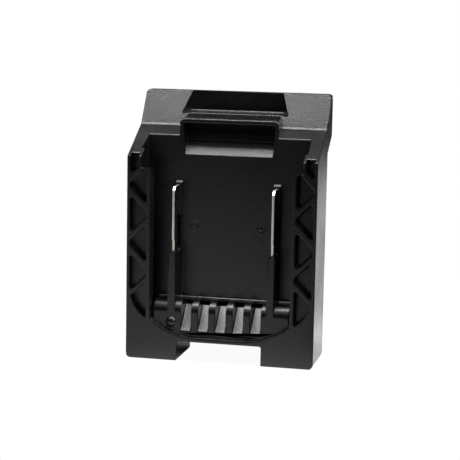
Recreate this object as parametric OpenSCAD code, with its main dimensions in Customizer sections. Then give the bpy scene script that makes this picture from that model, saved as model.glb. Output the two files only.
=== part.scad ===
// Tool battery adapter: a slide-in battery dock on the front, a T-shaped tool shoe with a catch on the back.
// Millimetres. X across the width, Y from the dock towards the shoe, Z up from the feet.
// Depths are counted from the front face; place() then centres the whole depth on the origin.

/* [Body] */
// Width over the two side rails
body_w = 78; // [74:0.5:84]
// Depth of the lower body
body_d = 24.2; // [24:0.1:26]
// Overall height
top_h = 108.7; // [100:0.1:120]
// Drop from the top to the upper edge of the front face
front_drop = 25.3; // [24.6:0.1:26]
// Depth of the bend between the lower and the upper slope
bend_d = 19.8; // [19:0.1:20.2]
// Drop from the top to that bend
bend_drop = 13.8; // [13:0.1:14.4]
// Depth of the upper slope's top edge
crest_d = 29.4; // [28.8:0.1:29.8]
// Depth of the head block's back
head_d = 34.4; // [34.2:0.1:36]
// Drop from the top to where the head block's underside leaves the body
head_under_drop = 23.7; // [22.5:0.1:25.5]
// Drop from the top to the head block's lower back edge
head_back_drop = 17.2; // [16:0.1:18.5]
// Wall thickness of both shells
wall = 2; // [1.8:0.1:2.2]
// Thickness of the outer side walls
side_wall = 2.2; // [1.8:0.1:2.4]
// Thickness of the lid strip above the rear cover
lid_t = 1.4; // [1:0.1:1.8]
// Radius of the head's corners seen from the front
corner_r = 1.6; // [0.8:0.1:2.2]
// Radius of the feet's outer corners seen from the front
foot_r = 2.4; // [0.8:0.1:3]
// Radius of the small outer edges
edge_r = 0.8; // [0.3:0.1:1]
// Radius of the legs' lower rear edge
heel_r = 2; // [0.5:0.1:3]
// Radius of the hollow bend between the slopes
bend_r = 4; // [1:0.5:8]
// Gap along the joint between the two shells
seam_gap = 0.3; // [0.2:0.05:0.5]
// Clearance round the inset part of the rear cover
cover_fit = 0.15; // [0.1:0.05:0.3]

/* [Legs] */
// Width of the notch between the legs
notch_w = 35; // [28:0.5:38]
// Height of the notch
notch_h = 8.1; // [6:0.1:8.3]
// Radius of the notch's upper corners
notch_r = 0.9; // [0.3:0.1:2]
// Thickness of the leg's front
leg_front_t = 5; // [3:0.5:8]

/* [Dock] */
// Depth of the dock floor
floor_d = 13.4; // [13:0.1:13.8]
// Thickness of the dock floor
floor_t = 2; // [1.6:0.1:2.2]
// Width between the lips
mouth_w = 57.8; // [56:0.1:59]
// Width of the rail slots behind the lips
slot_w = 67.6; // [66:0.1:69]
// Thickness of the lips
lip_t = 5.4; // [5:0.1:6]
// Drop from the top to the lips' upper ends
lip_drop = 30.1; // [28.8:0.1:31.5]
// Radius of the edge where the dock floor meets the lower slope
floor_edge_r = 1.4; // [0.3:0.1:1.6]
// Width of the entry above the lips
entry_w = 65.8; // [63:0.1:67]
// Height where the rail slots end at the bottom
slot_z = 17; // [16:0.1:18]
// Height of the dock's lower edge at its middle
edge_z = 9.5; // [9.2:0.1:10.2]
// Half width of the straight stretch of the lower edge
edge_flat = 10; // [8:0.5:12]
// Radius of the lower edge's arcs
edge_arc_r = 29; // [26:0.5:32]
// Width of the step inside the lower edge
edge_step = 0.7; // [0.3:0.1:1]
// Depth at which that step begins
edge_step_d = 2.2; // [1.5:0.1:2.6]

/* [Sill and vents] */
// Depth of the sill's face
sill_d = 3; // [2.8:0.1:4]
// Width of the sill
sill_w = 56.6; // [54:0.1:57.4]
// Height of the sill's top
sill_z = 24.3; // [23:0.1:25]
// Radius of the sill's rolled top edge
sill_r = 5; // [2:0.5:6]
// Radius of the fillet between the sill and the dock floor
sill_fillet = 0.8; // [0.3:0.1:1.2]
// Thickness of the strip that bridges the vents along the dock floor
vent_bridge = 0.9; // [0.6:0.1:1.2]
// Depth of that strip in front of the dock floor
vent_strip = 1.15; // [0.9:0.05:1.6]
// Number of vent slots
vent_n = 5; // [3:2:5]
// Width of a vent slot
vent_w = 4.2; // [3:0.1:4.4]
// Width of the ribs between the vent slots
vent_rib = 3.05; // [2.8:0.05:3.6]
// Height where the vent ramps begin
vent_z = 12; // [11.5:0.1:14]
// Depth where the vent ramps end
ramp_d = 12.4; // [8:0.1:13]
// Height where the vent ramps end
ramp_z = 21.5; // [19:0.1:22]
// Radius of the gate mark's dome below the left fin
gate_r = 2.6; // [2.2:0.1:3]
// Height of that dome above the sill's face
gate_h = 1.2; // [0.6:0.1:1.4]
// Height of the dome's centre
gate_z = 15.5; // [15:0.1:16.5]

/* [Terminals] */
// Distance of each terminal from the middle
blade_x = 20.55; // [20:0.05:22]
// Thickness of the terminal blades
blade_t = 1.05; // [0.8:0.05:1.4]
// Depth of the blades' front edge
blade_front_d = 4.4; // [3.8:0.1:6]
// Height of the blades' top
blade_top_z = 71; // [66:0.5:74]
// Length of the blade's set-back foot end
blade_step_h = 4.8; // [3:0.1:6]
// Set-back of that end
blade_step = 0.7; // [0.3:0.1:1]
// Size of the lead-in bevel at the blade's top
blade_lead = 1.6; // [0.8:0.1:2.4]
// Width of the insulating fins and of the blade's base ribs
fin_w = 3; // [2.6:0.1:3.4]
// Height of the fins' top
fin_z = 44.4; // [42:0.1:46]
// Height of the base rib above the dock floor
rib_h = 1.2; // [0.8:0.1:2]
// Length that the base rib runs past the blade's top
rib_past = 1; // [0.5:0.1:2]
// Length of the base rib's sloped upper end
rib_slope = 0.6; // [0.3:0.1:2]
// Height of the blade neck that passes the floor
neck_h = 8; // [6:0.5:10]
// Height of the lower side of that neck
neck_z = 50; // [49.5:0.5:54]
// Gap round the blade neck in the floor
neck_fit = 0.05; // [0.02:0.01:0.1]
// Diameter of the polarity marks
mark_w = 4.3; // [3:0.1:5]
// Line width of the polarity marks
mark_line = 0.55; // [0.3:0.05:0.8]
// Height of the polarity marks above the floor
mark_h = 0.4; // [0.15:0.05:0.5]
// Distance of the polarity marks from the middle
mark_x = 14.1; // [8:0.1:15]
// Height of the polarity marks' centres
mark_z = 53.9; // [48:0.1:70]

/* [Latch hood and finger recess] */
// Width of the hood
hood_w = 41; // [39.5:0.5:44]
// Drop from the top to the hood's top
hood_drop = 10.5; // [10:0.05:11]
// Radius of the hood's top corners
hood_r = 2; // [0.5:0.1:3]
// Radius of the hood's upper front edge
hood_edge_r = 0.9; // [0.3:0.1:1.2]
// Width of the latch pocket
pocket_w = 36.4; // [30:0.1:37]
// Width that the pocket gains on each side towards its top
pocket_flare = 0.8; // [0:0.1:1]
// Thickness of the hood above the pocket
hood_bar = 1.85; // [1.4:0.05:2.4]
// Height of the pocket
pocket_h = 13; // [11.5:0.1:14]
// Depth of the pocket's back
pocket_d = 20.8; // [20.6:0.1:21]
// Thickness of the pocket's back
pocket_wall = 1.6; // [1.2:0.1:1.8]
// Depth of the pocket's lead-in ramp
pocket_ramp_d = 4.6; // [3:0.1:4.8]
// Height of that ramp
pocket_ramp_h = 5.4; // [4.5:0.1:6.2]
// Depth that the pocket's back gains from the ramp up
pocket_lean = 1.4; // [0:0.1:1.6]
// Width of the finger recess at its back
recess_w = 38.4; // [30:0.1:42]
// Width that the recess gains on each side for each millimetre towards the front
recess_splay = 0.53; // [0.2:0.01:0.6]
// Height that the hood's top and the ledge behind it gain from the hood's front to the recess's back
ledge_rise = 2.3; // [1:0.1:2.6]
// Radius of the fillet at the ledge's back
ledge_fillet = 0.8; // [0.2:0.1:1.2]
// Thickness of the recess's walls
recess_wall = 1.2; // [1:0.1:1.3]

/* [Rail pockets] */
// Distance of the pockets' inner side from the middle
truss_in = 30.7; // [30.4:0.1:31.5]
// Distance of the pockets' outer side from the middle
truss_out = 37.6; // [36.5:0.1:37.8]
// Depth of the pockets
truss_d = 4.2; // [2.5:0.1:4.3]
// Thickness of the slanted ribs
truss_rib = 2.1; // [1.6:0.1:2.6]
// Height of the flat at a pocket's point
truss_flat = 2.07; // [1.5:0.01:3]
// Height of the lowest full pocket's centre
truss_z = 35.8; // [35:0.1:37]
// Radius of the pockets' corners
truss_r = 0.8; // [0.3:0.1:0.9]
// Thickness of the rib above the lowest pocket
bow_rib = 1.6; // [1.2:0.1:2.2]
// Radius of the lowest pocket's round outer side
bow_r = 13.7; // [13:0.1:14]
// Distance of that round side's centre from the middle
bow_x = 23.6; // [23.2:0.1:23.8]
// Height of that round side's centre
bow_z = 28.9; // [28:0.1:30]
// Distance of the top pocket's inner side from the middle
top_pocket_in = 34.1; // [34:0.1:35]
// Rise of the top pocket's upper side above the front face's edge
top_pocket_rise = 0.9; // [0.3:0.1:1.5]

/* [Tool shoe] */
// Width of the shoe's neck
neck_w = 44; // [42:0.5:46]
// Width of the shoe's head
shoe_w = 52; // [50:0.5:54]
// Depth where the shoe's head begins
shoe_d = 29; // [28:0.1:30]
// Height of the shoe's lower end
shoe_z = 22; // [21:0.5:24]
// Drop from the top to where the rail grooves stop
shoe_stop_drop = 34.7; // [32.5:0.1:36.5]
// Radius of the shoe's lower corners
shoe_r = 3; // [1:0.5:5]
// Width of the contact slots
contact_slot = 3; // [2.6:0.1:3.4]
// Height of the contact slots' upper ends
contact_slot_z = 48; // [46:0.5:50]

/* [Contacts] */
// Distance of the power contacts from the middle
contact_x = 14; // [13.5:0.1:14.5]
// Thickness of the contact sheet
contact_t = 0.8; // [0.6:0.1:1]
// Thickness of the fork leaves
leaf_t = 0.6; // [0.4:0.1:0.8]
// Height of the fork leaves along the slide direction
leaf_h = 13; // [10:0.5:14]
// Height of the contacts' lower end
contact_z = 27; // [26.5:0.5:28]
// Length of the contact's base
contact_h = 20; // [19:0.5:21]
// Width of the contact's base
contact_w = 8; // [6:0.5:8.5]
// Gap between the fork leaves at their pinch
pinch_gap = 0.8; // [0.5:0.1:1]
// Distance between the leaves' tips and the shoe's back wall
leaf_tip_gap = 0.5; // [0.3:0.1:1]
// Thickness of the busbars
busbar_t = 0.8; // [0.6:0.1:1]
// Width of the busbars
busbar_w = 8; // [7:0.5:8.5]
// Thickness of the contact carrier
carrier_t = 2; // [1.6:0.1:2.4]
// Width of the contact carrier
carrier_w = 53; // [52:0.5:54]
// Margin of the carrier above and below the contacts
carrier_margin = 1.5; // [1:0.1:2]
// Distance of the carrier's screws from the middle
carrier_screw_x = 23.5; // [22.6:0.1:23.8]
// Radius of the carrier screws' shanks
carrier_screw_r = 1; // [0.8:0.05:1.1]
// Radius of the carrier screws' heads
carrier_head_r = 2; // [1.6:0.1:2.2]
// Height of the carrier screws' heads
carrier_head_h = 1.3; // [1:0.1:1.5]
// Radius of the bosses under the carrier
carrier_boss_r = 2.8; // [2:0.1:3]
// Radius of the rivets' shanks
rivet_r = 1.1; // [0.8:0.05:1.2]
// Radius of the rivets' heads
rivet_head_r = 1.9; // [1.5:0.1:2.2]
// Height of the rivets' heads
rivet_head_h = 0.6; // [0.4:0.1:0.8]
// Gap round rivets, stakes and screws in their holes
hole_fit = 0.05; // [0.02:0.01:0.1]

/* [Signal board] */
// Width of the signal board
board_w = 16; // [15:0.5:17]
// Thickness of the signal board
board_t = 1.6; // [1:0.1:1.6]
// Width of the signal contact's base
signal_w = 5.2; // [5:0.1:6]
// Radius of the stakes that hold the board
stake_r = 0.9; // [0.6:0.05:1]
// Length of the resistor
resistor_w = 3.2; // [2:0.1:4]
// Width of the resistor
resistor_h = 1.6; // [1:0.1:1.8]
// Thickness of the resistor
resistor_t = 0.6; // [0.4:0.1:1]
// Width of the resistor's end caps
cap_w = 0.65; // [0.4:0.05:0.8]
// Thickness of the end caps' plating
cap_t = 0.06; // [0.04:0.01:0.1]
// Width of the jumper link
jumper_h = 1.6; // [1:0.1:1.8]
// Thickness of the jumper link
jumper_t = 0.3; // [0.2:0.05:0.4]

/* [Release] */
// Travel of the release
release_travel = 3.5; // [3.4:0.1:3.6]
// Distance that the hook stands out of the shoe
hook_out = 3.3; // [2.5:0.1:3.4]
// Width of the hook
hook_w = 12; // [10:0.5:13]
// Height of the hook
hook_h = 7; // [6:0.5:8]
// Length of the hook's slanted lower side
hook_ramp = 5; // [3.5:0.1:5.5]
// Distance from the hook's top up to the end of the rail grooves
hook_gap = 3; // [2:0.5:4]
// Depth of the slider plate's front
slider_d = 27; // [26.8:0.1:27.2]
// Thickness of the slider plate
slider_t = 2; // [1.6:0.1:2.2]
// Width of the slider plate
slider_w = 18; // [17:0.5:19]
// Width of the push button
button_w = 21.7; // [18:0.1:22]
// Drop from the top to the push button's upper side
button_drop = 14.1; // [13.9:0.1:14.9]
// Height of the push button
button_h = 10.4; // [8:0.1:10.6]
// Drop from the push button's upper side to the slider plate's top
slider_drop = 1.5; // [1.2:0.1:2.4]
// Distance that the button stands out of the shoe's back
button_out = 3; // [2:0.1:3.2]
// Radius of the push button's corners
button_r = 2; // [0.5:0.1:3]
// Margin of the flange that keeps the button in
flange_margin = 1.2; // [1:0.1:1.4]
// Thickness of that flange
flange_t = 2.4; // [1.5:0.1:2.6]
// Gap between the release and what guides it
release_fit = 0.2; // [0.15:0.05:0.3]
// Thickness of the guide walls
guide_t = 1.5; // [1.2:0.1:2]
// Drop from the push button's lower side to the guide walls' upper ends
guide_drop = 2; // [1.8:0.1:3]
// Distance of the return springs from the middle
spring_x = 6; // [5:0.1:6.2]
// Drop from the push button's lower side to the return springs' axes
spring_drop = 7.2; // [6.8:0.1:8]
// Radius of the spring at the middle of its wire
spring_r = 2.3; // [2.1:0.05:2.5]
// Radius of the spring wire
wire_r = 0.35; // [0.25:0.05:0.4]
// Number of turns of the spring
spring_turns = 6; // [4:1:7]
// Radius of the spigots inside the springs
spigot_r = 1.6; // [1.2:0.1:1.6]
// Length of the spigots
spigot_l = 2; // [1:0.1:2.2]

/* [Housing screws] */
// Distance of the housing screws from the middle
screw_x = 31; // [30.5:0.1:31.5]
// Height of the lowest screws
screw_low_z = 18; // [17:0.5:20]
// Height of the middle screws
screw_mid_z = 60; // [56:0.5:66]
// Drop from the top to the upper screws
screw_drop = 11.2; // [10.7:0.1:11.5]
// Radius of the screw shanks
screw_r = 1.45; // [1.2:0.05:1.5]
// Length of the screw shanks
screw_l = 6.2; // [5:0.1:6.3]
// Radius of the screw heads
screw_head_r = 2.9; // [2.5:0.1:3]
// Height of the screw heads
screw_head_h = 1.8; // [1.4:0.1:1.9]
// Depth of the counterbores
sink_d = 2; // [2:0.1:2.1]
// Thickness of the seat under a screw head
seat_t = 1.2; // [1:0.1:1.4]
// Radius of the screw bosses
boss_r = 3; // [2.6:0.1:3.2]
// Clearance round the screws in the rear cover
screw_fit = 0.2; // [0.1:0.05:0.3]

/* [Hidden] */
$fn = 64;

plastic = [0.05, 0.05, 0.055];
inner_plastic = [0.16, 0.16, 0.17];
nickel = [0.78, 0.76, 0.70];
copper = [0.72, 0.45, 0.30];
steel = [0.62, 0.63, 0.65];
board_green = [0.10, 0.33, 0.20];

// Overlap of joined shapes and overrun of cuts
lap = 1;
// Far edge of cuts that run out of the part
far = 200;
// Steps in the arc of a rounded corner
corner_steps = 8;
// Width and depth of a screw's cross slots, as a share of its head's radius
drive_share = 0.25;
// Steps in a long arc
arc_steps = 16;

// Derived depths, from the dock floor towards the back
floor_back = floor_d + floor_t;
foot_back = floor_back + blade_t;
busbar_back = foot_back + busbar_t;
carrier_back = busbar_back + carrier_t;
contact_back = carrier_back + contact_t;
board_back = carrier_back + board_t;
signal_back = board_back + leaf_t;
cover_front = body_d - wall;
back_inner = head_d - wall;
slider_back = slider_d + slider_t;
total_d = head_d + hook_out;

// Derived heights, those of the head counted down from the top
front_h = top_h - front_drop;
bend_z = top_h - bend_drop;
head_under_z = top_h - head_under_drop;
head_back_z = top_h - head_back_drop;
lip_top_z = top_h - lip_drop;
hood_z = top_h - hood_drop;
pocket_top_z = hood_z - hood_bar;
pocket_z = pocket_top_z - pocket_h;
top_pocket_z = front_h + top_pocket_rise;
shoe_stop_z = top_h - shoe_stop_drop;
hook_z = shoe_stop_z - hook_gap - hook_h;
button_top_z = top_h - button_drop;
button_z = button_top_z - button_h;
slider_top_z = button_top_z - slider_drop;
spring_z = button_z - spring_drop;
screw_top_z = top_h - screw_drop;
hollow_z = notch_h + wall;
fork_top_z = contact_z + leaf_h;
contact_top_z = contact_z + contact_h;
contact_rivet_z = (fork_top_z + contact_top_z) / 2;
carrier_z = contact_z - carrier_margin;
carrier_top_z = contact_top_z + carrier_margin;
carrier_screw_z = (carrier_z + carrier_top_z) / 2;
blade_rivet_z = neck_z + neck_h / 2;
guide_top_z = button_z - guide_drop;
shoe_inner_w = neck_w - 2 * wall;
hollow_w = body_w - 2 * side_wall;
leg_in_x = notch_w / 2 + wall;

// Derived slopes, as points in depth and height
bend = [bend_d, bend_z];
lower_run = [bend_d, bend_z - front_h];
upper_run = [crest_d - bend_d, top_h - bend_z];
lower_in = [lower_run[1], -lower_run[0]] / norm(lower_run);
upper_in = [upper_run[1], -upper_run[0]] / norm(upper_run);
under_run = [head_d - body_d, head_back_z - head_under_z];
under_in = [-under_run[1], under_run[0]] / norm(under_run);
inner_bend = meet(bend + wall * lower_in, lower_run, bend + wall * upper_in, upper_run);
inner_floor_top = meet(bend + wall * lower_in, lower_run, [floor_back, 0], [0, 1]);
seam_low = meet(bend + wall * upper_in, upper_run, [body_d, 0], [0, 1]);
seam_top = meet(bend + wall * upper_in, upper_run, [0, top_h - lid_t], [1, 0]);
cover_low = meet(bend + (wall + seam_gap) * upper_in, upper_run, [body_d + seam_gap, 0], [0, 1]);
cover_top = meet(bend + (wall + seam_gap) * upper_in, upper_run, [0, top_h - lid_t - seam_gap], [1, 0]);
ledge_run = [crest_d - floor_d, ledge_rise];
ledge_front = meet([floor_d, hood_z], ledge_run, bend, upper_run);

// Rail pocket pattern: full pockets in pairs, as many as end no more than a rib above the lips' upper ends
truss_w = truss_out - truss_in;
truss_half = truss_flat / 2;
truss_pitch = truss_w + truss_flat + truss_rib * sqrt(2);
truss_room = lip_top_z + truss_rib - truss_w - truss_half - truss_z;
truss_n = 2 * floor((truss_room / truss_pitch + 1) / 2);
truss_top_z = truss_z + (truss_n - 1) * truss_pitch;

// Point where the line from p along u meets the line from q along v
function meet(p, u, q, v) = p + u * cross(q - p, v) / cross(u, v);

// Depth of the upper slope at height z
function upper_d(z) = bend_d + (z - bend_z) * upper_run[0] / upper_run[1];

// Height of the head block's underside at depth d, t above its face
function under_z(d, t = 0) = meet([body_d, head_under_z] + t * under_in, under_run, [d, 0], [0, 1])[1];

function unit(v) = v / norm(v);

// Points of the arc of radius r that rounds corner b between a and c
function corner_arc(a, b, c, r) =
    r <= 0 ? [b] :
    let (
        u = unit(a - b),
        w = unit(c - b),
        half = acos(u * w) / 2,
        centre = b + unit(u + w) * r / sin(half),
        start = b + u * r / tan(half) - centre,
        stop = b + w * r / tan(half) - centre,
        turn = atan2(cross(start, stop), start * stop),
        first = atan2(start[1], start[0])
    )
    [for (i = [0:corner_steps]) centre + r * [cos(first + turn * i / corner_steps),
                                             sin(first + turn * i / corner_steps)]];

// Outline whose rows hold a corner and its radius: [x, y, r]
function rounded(rows) =
    let (n = len(rows), p = [for (row = rows) [row[0], row[1]]])
    [for (i = [0:n - 1]) each corner_arc(p[(i + n - 1) % n], p[i], p[(i + 1) % n], rows[i][2])];

// Centres the depth on the origin
module place() {
    translate([0, -total_d / 2, 0]) children();
}

// A profile drawn in depth and height, carried across the width w about x
module across(w, x = 0) {
    translate([x, 0, 0]) rotate([90, 0, 90]) linear_extrude(w, center = true) children();
}

// An outline drawn in width and height, carried from depth d0 to d1
module along(d0, d1) {
    translate([0, d1, 0]) rotate([90, 0, 0]) linear_extrude(d1 - d0) children();
}

// A block of width w about x
module block(w, d0, d1, z0, z1, x = 0) {
    translate([x - w / 2, d0, z0]) cube([w, d1 - d0, z1 - z0]);
}

// A round bar along the depth
module rod(x, z, d0, d1, r) {
    translate([x, d0, z]) rotate([-90, 0, 0]) cylinder(r = r, h = d1 - d0);
}

// The same thing on both sides
module both() {
    children();
    mirror([1, 0, 0]) children();
}

// Places of all housing screws: side, height and depth of the seat under the head
module at_screws() {
    for (side = [-1, 1]) {
        translate([side * screw_x, body_d - sink_d, screw_low_z]) children();
        translate([side * screw_x, body_d - sink_d, screw_mid_z]) children();
        translate([side * screw_x, head_d - sink_d, screw_top_z]) children();
    }
}

// Outer form of the front shell
module housing_outer() {
    intersection() {
        across(body_w) polygon(rounded([
            [0, 0, edge_r],
            [0, front_h, edge_r],
            [bend_d, bend_z, bend_r],
            [crest_d, top_h, edge_r],
            [head_d, top_h, edge_r],
            [head_d, top_h - lid_t, 0],
            [seam_top[0], seam_top[1], 0],
            [seam_low[0], seam_low[1], 0],
            [body_d, 0, heel_r]
        ]));
        along(-lap, far) polygon(rounded([
            [-body_w / 2, 0, foot_r],
            [-notch_w / 2, 0, edge_r],
            [-notch_w / 2, notch_h, notch_r],
            [notch_w / 2, notch_h, notch_r],
            [notch_w / 2, 0, edge_r],
            [body_w / 2, 0, foot_r],
            [body_w / 2, top_h, corner_r],
            [-body_w / 2, top_h, corner_r]
        ]));
    }
}

// Space inside the front shell, open to the back
module housing_hollow() {
    across(hollow_w) polygon([
        [floor_back, hollow_z],
        inner_floor_top,
        inner_bend,
        seam_low,
        [far, seam_low[1]],
        [far, hollow_z]
    ]);
    both() translate([leg_in_x, leg_front_t, wall])
        cube([hollow_w / 2 - leg_in_x, far, hollow_z - wall + lap]);
}

// Outline of the dock's mouth, drawn in by a step
module mouth_outline(step) {
    arc_r = edge_arc_r - step;
    centre_z = edge_z + edge_arc_r;
    last = asin((mouth_w / 2 - edge_flat) / arc_r);
    right = [for (i = [0:arc_steps]) let (a = last * i / arc_steps)
        [edge_flat + arc_r * sin(a), centre_z - arc_r * cos(a)]];
    left = [for (i = [0:arc_steps]) [-right[arc_steps - i][0], right[arc_steps - i][1]]];
    polygon(concat(left, right, [[mouth_w / 2, far], [-mouth_w / 2, far]]));
}

// Space in front of the dock floor, from depth d0 and height z0 up, with the floor's rounded upper edge
module floor_space(w, d0, z0) {
    edge = meet(bend, lower_run, [floor_d, 0], [0, 1]);
    past = edge + 4 * floor_edge_r * unit([lower_run[0], lower_run[1] + lap]);
    across(w) polygon(rounded([
        [d0, z0, 0],
        [floor_d, z0, 0],
        [edge[0], edge[1], floor_edge_r],
        [past[0], past[1], 0],
        [d0, past[1], 0]
    ]));
}

// Space that the battery's foot slides into from above
module dock_space() {
    along(-lap, edge_step_d) mouth_outline(0);
    along(edge_step_d - lap, sill_d) mouth_outline(edge_step);
    floor_space(mouth_w, sill_d - lap, slot_z);
    floor_space(slot_w, lip_t, slot_z);
    floor_space(entry_w, -lap, lip_top_z);
}

// Raised sill at the dock's lower end, with its rolled top edge
module sill() {
    across(sill_w) polygon(rounded([
        [sill_d, slot_z - lap, 0],
        [floor_d + lap, slot_z - lap, 0],
        [floor_d + lap, sill_z + 2 * sill_fillet, 0],
        [floor_d, sill_z + 2 * sill_fillet, 0],
        [floor_d, sill_z, sill_fillet],
        [sill_d, sill_z, sill_r]
    ]));
}

// One vent: a ramp through the sill and a window under the dock floor
module vent(x) {
    ramp_run = [ramp_d - sill_d, ramp_z - vent_z];
    start = [sill_d, vent_z] - lap * unit(ramp_run);
    bridge_d = floor_d - vent_strip;
    across(vent_w, x) polygon([
        start,
        [ramp_d, ramp_z],
        [floor_back + lap, ramp_z],
        [floor_back + lap, sill_z - vent_bridge],
        [bridge_d, sill_z - vent_bridge],
        [bridge_d, sill_z + lap],
        [start[0], sill_z + lap]
    ]);
}

// Insulating fin below a terminal and the low rib along its foot
module fin() {
    block(fin_w, sill_d, floor_d + lap, sill_z - sill_r, fin_z, blade_x);
    across(fin_w, blade_x) polygon([
        [floor_d - rib_h, fin_z - lap],
        [floor_d + lap, fin_z - lap],
        [floor_d + lap, blade_top_z + rib_past + rib_slope],
        [floor_d, blade_top_z + rib_past + rib_slope],
        [floor_d - rib_h, blade_top_z + rib_past]
    ]);
}

// Raised ring with a minus sign, or a plus sign
module polarity_mark(x, plus) {
    difference() {
        rod(x, mark_z, floor_d - mark_h, floor_d + mark_h, mark_w / 2);
        rod(x, mark_z, floor_d - 2 * mark_h, floor_d + 2 * mark_h, mark_w / 2 - mark_line);
    }
    bar = mark_w / 2;
    block(bar, floor_d - mark_h, floor_d + mark_h, mark_z - mark_line / 2, mark_z + mark_line / 2, x);
    if (plus)
        block(mark_line, floor_d - mark_h, floor_d + mark_h, mark_z - bar / 2, mark_z + bar / 2, x);
}

// Dome left by the gate on the sill's face
module gate_mark() {
    translate([-blade_x, sill_d + gate_r - gate_h, gate_z]) sphere(r = gate_r);
}

// Hood that frames the latch pocket, before the pocket is cut; its top rises with the ledge behind it
module hood() {
    hood_back = max(pocket_d + pocket_wall, upper_d(hood_z) + lap / 2);
    buried = ledge_front + lap / 2 * unit(ledge_run);
    intersection() {
        across(hood_w) polygon(rounded([
            [floor_d, pocket_z - floor_t, 0],
            [floor_back, pocket_z - floor_t, 0],
            [hood_back, pocket_z + hood_back - floor_d - 2 * floor_t, 0],
            [hood_back, hood_z, 0],
            [buried[0], buried[1], 0],
            [floor_d, hood_z, hood_edge_r]
        ]));
        translate([0, floor_d, hood_z]) rotate([atan2(ledge_rise, crest_d - floor_d), 0, 0])
            along(-floor_d, far) polygon(rounded([
                [-hood_w / 2, -far, 0],
                [hood_w / 2, -far, 0],
                [hood_w / 2, 0, hood_r],
                [-hood_w / 2, 0, hood_r]
            ]));
    }
}

// Pocket that the battery's latch snaps into
module latch_pocket() {
    low = pocket_w / 2;
    high = low + pocket_flare;
    intersection() {
        across(hood_w) polygon([
            [floor_d - lap, pocket_z],
            [floor_d, pocket_z],
            [floor_d + pocket_ramp_d, pocket_z + pocket_ramp_h],
            [pocket_d - pocket_lean, pocket_z + pocket_ramp_h],
            [pocket_d, pocket_top_z],
            [floor_d - lap, pocket_top_z]
        ]);
        along(0, far) polygon([
            [-low, pocket_z],
            [low, pocket_z],
            [high, pocket_top_z],
            [-high, pocket_top_z]
        ]);
    }
}

// Upright sides and back of the finger recess, splayed towards the front and grown by t
module recess_plan(t) {
    back = recess_w / 2 + t;
    front = back + recess_splay * (crest_d + t);
    linear_extrude(far) polygon([
        [-front, 0],
        [front, 0],
        [back, crest_d + t],
        [-back, crest_d + t]
    ]);
}

// Walls of the finger recess, before the recess is cut
module recess_walls() {
    low_z = ledge_front[1] - wall;
    intersection() {
        recess_plan(recess_wall);
        across(body_w) polygon([
            [upper_d(low_z) + edge_r, low_z],
            [far, low_z],
            [far, top_h - edge_r],
            [upper_d(top_h - edge_r) + edge_r, top_h - edge_r]
        ]);
    }
}

// Finger recess with its ledge, which meets the hood's top
module finger_recess() {
    intersection() {
        recess_plan(0);
        across(body_w) polygon(rounded([
            [ledge_front[0], ledge_front[1], 0],
            [crest_d, hood_z + ledge_rise, ledge_fillet],
            [crest_d, top_h + lap, 0],
            [0, top_h + lap, 0],
            [0, ledge_front[1], 0]
        ]));
    }
}

// Pockets that leave a truss of ribs in the right rail
module truss_pockets() {
    along(-lap, truss_d) {
        for (i = [0:truss_n - 1])
            let (
                z = truss_z + i * truss_pitch,
                base = i % 2 == 0 ? truss_out : truss_in,
                tip = i % 2 == 0 ? truss_in : truss_out
            )
            polygon(rounded([
                [base, z - truss_half - truss_w, truss_r],
                [tip, z - truss_half, truss_r],
                [tip, z + truss_half, truss_r],
                [base, z + truss_half + truss_w, truss_r]
            ]));
        bow_pocket(truss_z - truss_half - truss_w - bow_rib * sqrt(2));
        polygon(rounded([
            [top_pocket_in, top_pocket_rib_z(top_pocket_in), truss_r],
            [truss_out, top_pocket_rib_z(truss_out), truss_r],
            [truss_out, top_pocket_z, truss_r / 2],
            [top_pocket_in, top_pocket_z, truss_r / 2]
        ]));
    }
}

// Height of the upper side of the uppermost rib at distance x from the middle
function top_pocket_rib_z(x) = truss_top_z + truss_pitch - truss_half - (x - truss_in);

// Lowest rail pocket: a slanted upper side whose outer end is at height z, and a round outer side
module bow_pocket(z) {
    steps = arc_steps / 2;
    first = -acos((truss_in - bow_x) / bow_r);
    // the round side ends where the slanted side crosses it
    slant = (truss_in - bow_x + z + truss_w - bow_z) / sqrt(2);
    last = 45 - acos(slant / bow_r);
    polygon(rounded(concat(
        [[truss_in, z + truss_w, truss_r]],
        [for (i = [0:steps]) let (a = first + (last - first) * i / steps)
            [bow_x + bow_r * cos(a), bow_z + bow_r * sin(a), i % steps == 0 ? truss_r / 2 : 0]]
    )));
}

// Bosses of the front shell that take the housing screws
module housing_bosses() {
    intersection() {
        at_screws() rotate([90, 0, 0]) translate([0, 0, seat_t]) cylinder(r = boss_r, h = far);
        union() {
            block(body_w - side_wall, floor_d + floor_t / 2, cover_front, 0, inner_floor_top[1]);
            across(body_w - side_wall) polygon([
                bend + wall / 2 * upper_in,
                [far, bend_z + wall / 2 * upper_in[1]],
                [far, top_h - lid_t],
                meet(bend + wall / 2 * upper_in, upper_run, [0, top_h - lid_t], [1, 0])
            ]);
        }
    }
}

// Front shell with the battery dock
module dock_housing() {
    color(plastic) place() difference() {
        union() {
            difference() {
                housing_outer();
                housing_hollow();
                dock_space();
            }
            sill();
            gate_mark();
            both() fin();
            hood();
            recess_walls();
            housing_bosses();
            polarity_mark(-mark_x, false);
            polarity_mark(mark_x, true);
            both() rod(spring_x, spring_z, floor_back - lap, floor_back + spigot_l, spigot_r);
        }
        for (i = [0:vent_n - 1])
            vent((i - (vent_n - 1) / 2) * (vent_w + vent_rib));
        latch_pocket();
        finger_recess();
        both() truss_pockets();
        both() block(blade_t + 2 * neck_fit, floor_d - rib_h - lap, floor_back + lap,
                     neck_z - neck_fit, neck_z + neck_h + neck_fit, blade_x);
        at_screws() rotate([90, 0, 0]) cylinder(r = screw_r + hole_fit, h = screw_l + hole_fit);
    }
}

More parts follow.
